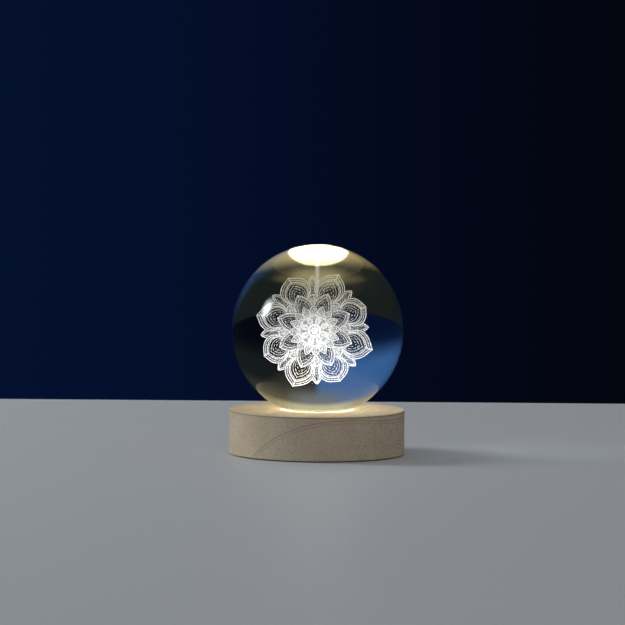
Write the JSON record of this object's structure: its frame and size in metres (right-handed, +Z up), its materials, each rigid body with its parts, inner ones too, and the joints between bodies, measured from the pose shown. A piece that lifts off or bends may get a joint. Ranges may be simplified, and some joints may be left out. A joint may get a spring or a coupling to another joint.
{
  "type": "crystal ball lamp",
  "caption": "Clear glass ball with a layered rosette engraved inside, resting on a round turned wooden base that lights it from below.",
  "frame": {"origin": "on the table, under the middle of the ball and of the base", "axes": "+Z up; the rosette faces -Y; the charging socket and the button are at the back, +Y"},
  "size_m": [0.0814, 0.0814, 0.0976],
  "materials": {
    "beech": "fine sanded, clear oiled",
    "clear_glass": "polished, clear",
    "engraving": "fine white cracks inside the glass",
    "clear_silicone": "clear, satin",
    "cup_white": "white, fine textured",
    "frosted_diffuser": "frosted, lit from below",
    "led_lens": "yellow lens in a white cup",
    "white_board": "white coated circuit board",
    "green_board": "green coated circuit board",
    "chip_black": "moulded black",
    "part_ceramic": "small fired ceramic parts",
    "screw_steel": "zinc plated",
    "socket_steel": "drawn, satin",
    "spring_steel": "drawn wire",
    "battery_foil": "matt foil pouch",
    "white_tape": "double-sided foam",
    "plate_black": "moulded, fine spark texture",
    "button_black": "polished",
    "foot_foam": "closed-cell foam",
    "red_lead": "insulated",
    "black_lead": "insulated"
  },
  "bodies": {
    "base": {"wooden_base": "beech", "foot_pad": "foot_foam", "bottom_plate": "plate_black", "bottom_plate_screws": "screw_steel", "light_cup": "cup_white", "light_cup_screws": "screw_steel", "diffuser_disc": "frosted_diffuser", "lamp_board": "white_board", "lamp_board_screws": "screw_steel", "lamp_leds": "led_lens", "lamp_resistors": "part_ceramic", "battery": "battery_foil", "battery_tape": "white_tape", "control_board": "green_board", "control_board_screws": "screw_steel", "charge_chip": "chip_black", "control_board_parts": "part_ceramic", "socket_shell": "socket_steel", "socket_tongue": "chip_black", "port_bezel": "plate_black", "switch_housing": "chip_black", "switch_spring": "spring_steel", "positive_lamp_lead": "red_lead", "negative_lamp_lead": "black_lead", "positive_battery_lead": "red_lead", "negative_battery_lead": "black_lead"},
    "button": {"power_button": "button_black"},
    "ring": {"seat_ring": "clear_silicone"},
    "ball": {"crystal_ball": "clear_glass", "outer_petals": "engraving", "between_petals": "engraving", "soft_leaves": "engraving", "middle_petals": "engraving", "inner_petals": "engraving", "rosette_heart": "engraving"}
  },
  "joints": [
    {"name": "ball_turn", "type": "hinge", "parent": "base", "child": "ring", "pos_m": [0, 0, 0.0197], "axis": [0, 0, 1], "continuous": true},
    {"name": "ball_lift", "type": "slide", "parent": "ring", "child": "ball", "axis": [0, 0, 1], "range_m": [0, 0.06]},
    {"name": "button_press", "type": "slide", "parent": "base", "child": "button", "axis": [0, -1, 0], "range_m": [0, 0.001], "stiffness_N_per_m": 300, "springref_m": -0.002, "deforming": ["switch_spring"]}
  ]
}
